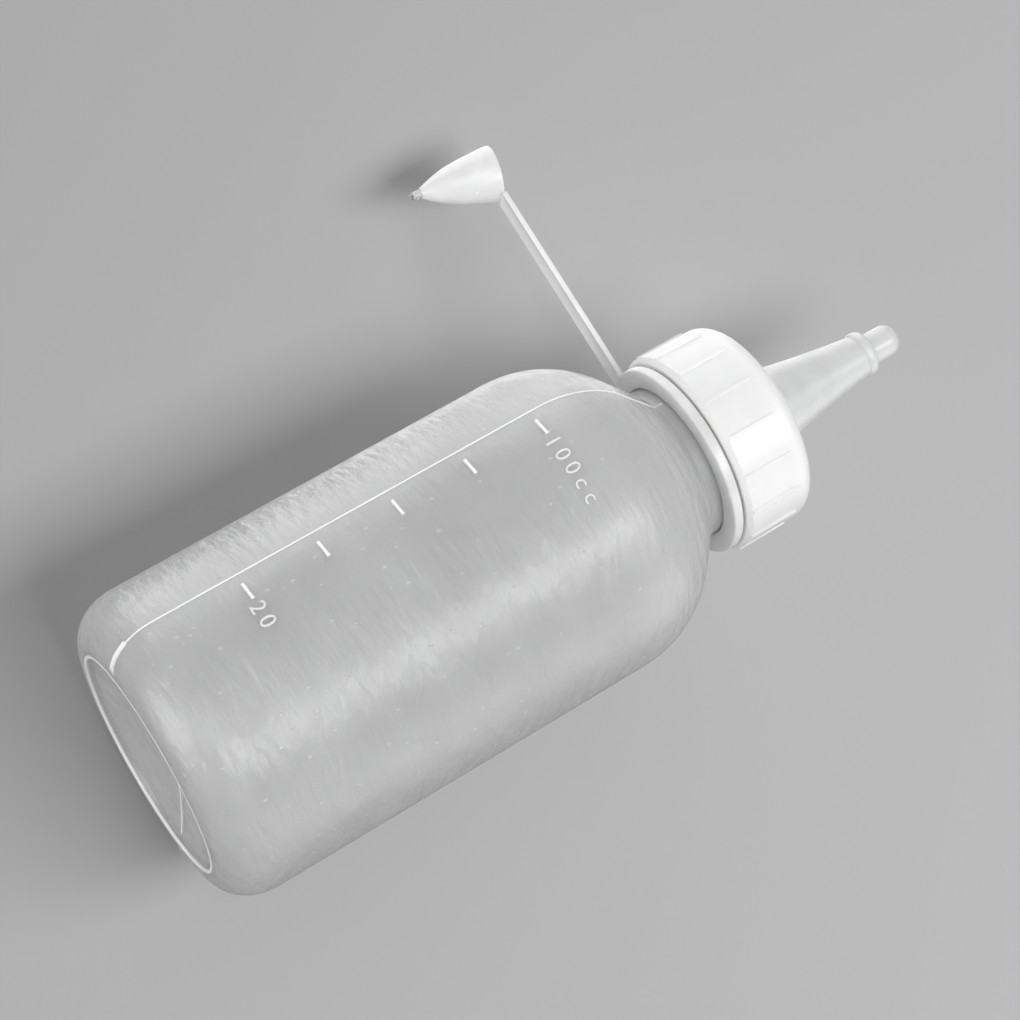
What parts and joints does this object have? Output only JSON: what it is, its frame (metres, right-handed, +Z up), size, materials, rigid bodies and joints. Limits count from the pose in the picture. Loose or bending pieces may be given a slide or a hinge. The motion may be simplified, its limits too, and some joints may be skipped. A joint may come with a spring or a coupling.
{
  "type": "glue applicator bottle",
  "caption": "Translucent squeeze bottle for glue with a ribbed screw cap, a conical nozzle sealed at its tip, and a pointed tip cap on a flat strap from a ring round the neck.",
  "frame": {"origin": "centre of the base, on the plane of the ring that the bottle stands on", "axes": "+Z up the bottle's axis to the nozzle; the tether strap leaves the neck along -X"},
  "size_m": [0.0826, 0.0478, 0.133],
  "materials": {
    "bottle_plastic": "translucent, satin to glossy, finely scratched",
    "cap_plastic": "milky white, satin",
    "nozzle_plastic": "milky, slightly translucent, satin",
    "tether_plastic": "milky, slightly translucent, satin"
  },
  "bodies": {
    "bottle": {"bottle_body": "bottle_plastic"},
    "nozzle": {"nozzle": "nozzle_plastic"},
    "cap": {"screw_cap": "cap_plastic"},
    "tether": {"tether_ring": "tether_plastic"},
    "strap_root": {"strap_root": "tether_plastic"},
    "strap_lower": {"strap_lower": "tether_plastic"},
    "strap_middle": {"strap_middle": "tether_plastic"},
    "strap_upper": {"strap_upper": "tether_plastic"},
    "tip_cap": {"tip_cap": "tether_plastic"}
  },
  "joints": [
    {"name": "cap_lift", "type": "slide", "parent": "bottle", "child": "nozzle", "axis": [0, 0, 1], "range_m": [0, 0.0128]},
    {"name": "cap_turn", "type": "hinge", "parent": "nozzle", "child": "cap", "pos_m": [0, 0, 0.1], "axis": [0, 0, 1], "range_deg": [0, 1441]},
    {"name": "tether_spin", "type": "hinge", "parent": "nozzle", "child": "tether", "pos_m": [0, 0, 0.0915], "axis": [0, 0, 1], "continuous": true},
    {"name": "strap_fold", "type": "hinge", "parent": "tether", "child": "strap_root", "pos_m": [-0.0163, 0, 0.09102], "axis": [0, 1, 0], "range_deg": [-15, 42]},
    {"name": "strap_curl_lower", "type": "hinge", "parent": "strap_root", "child": "strap_lower", "pos_m": [-0.0206, 0, 0.0912], "axis": [0, 1, 0], "range_deg": [-15, 40.5]},
    {"name": "strap_curl_middle", "type": "hinge", "parent": "strap_lower", "child": "strap_middle", "pos_m": [-0.03059, 0, 0.0916], "axis": [0, 1, 0], "range_deg": [-6.5, 17.3]},
    {"name": "strap_curl_upper", "type": "hinge", "parent": "strap_middle", "child": "strap_upper", "pos_m": [-0.04008, 0, 0.09198], "axis": [0, 1, 0], "range_deg": [-5.8, 15.2]},
    {"name": "tip_tilt", "type": "hinge", "parent": "strap_upper", "child": "tip_cap", "pos_m": [-0.04757, 0, 0.09228], "axis": [0, 1, 0], "range_deg": [-9.5, 25.7]}
  ],
  "couplings": [
    {"joint": "cap_turn", "follows": "cap_lift", "rad_per_m": 1963.5},
    {"joint": "strap_curl_lower", "follows": "strap_fold", "ratio": 0.95},
    {"joint": "strap_curl_middle", "follows": "strap_fold", "ratio": 0.4},
    {"joint": "strap_curl_upper", "follows": "strap_fold", "ratio": 0.35},
    {"joint": "tip_tilt", "follows": "strap_fold", "ratio": 0.6}
  ]
}
